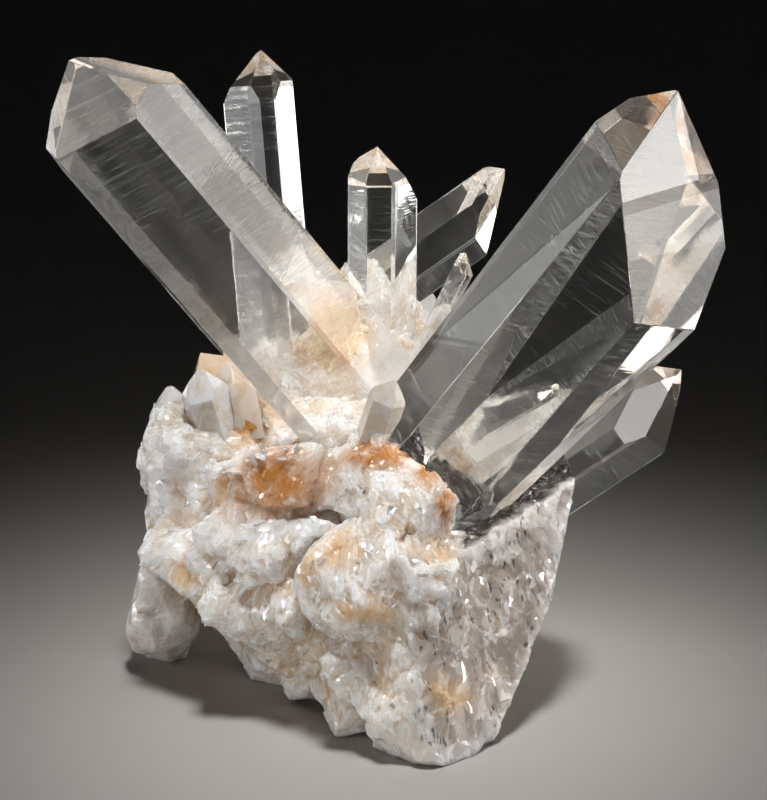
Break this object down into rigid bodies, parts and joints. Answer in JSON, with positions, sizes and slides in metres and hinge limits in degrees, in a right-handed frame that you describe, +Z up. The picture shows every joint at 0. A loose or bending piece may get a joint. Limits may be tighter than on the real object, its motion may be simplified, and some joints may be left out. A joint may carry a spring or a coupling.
{
  "type": "quartz crystal cluster",
  "caption": "Clear six-sided quartz points radiating from a broken lump of milky, lightly iron-stained quartz, sawn flat underneath to stand on a shelf.",
  "frame": {"origin": "on the flat sawn underside, under the middle of the lump", "axes": "+Z up; -Y towards the front, from which the specimen is meant to be seen; +X to the right of that view"},
  "size_m": [0.1104, 0.0974, 0.1106],
  "materials": {
    "clear_quartz": "natural crystal faces, clear and glossy, faintly striated",
    "milky_quartz": "broken milky quartz, translucent, cream to orange iron stain"
  },
  "bodies": {
    "root": {"crystal_left": "clear_quartz", "crystal_right": "clear_quartz", "crystal_back_left": "clear_quartz", "crystal_centre": "clear_quartz", "crystal_back_right": "clear_quartz", "crystal_small": "clear_quartz", "crystal_low_right": "clear_quartz", "matrix": "milky_quartz"}
  },
  "joints": []
}
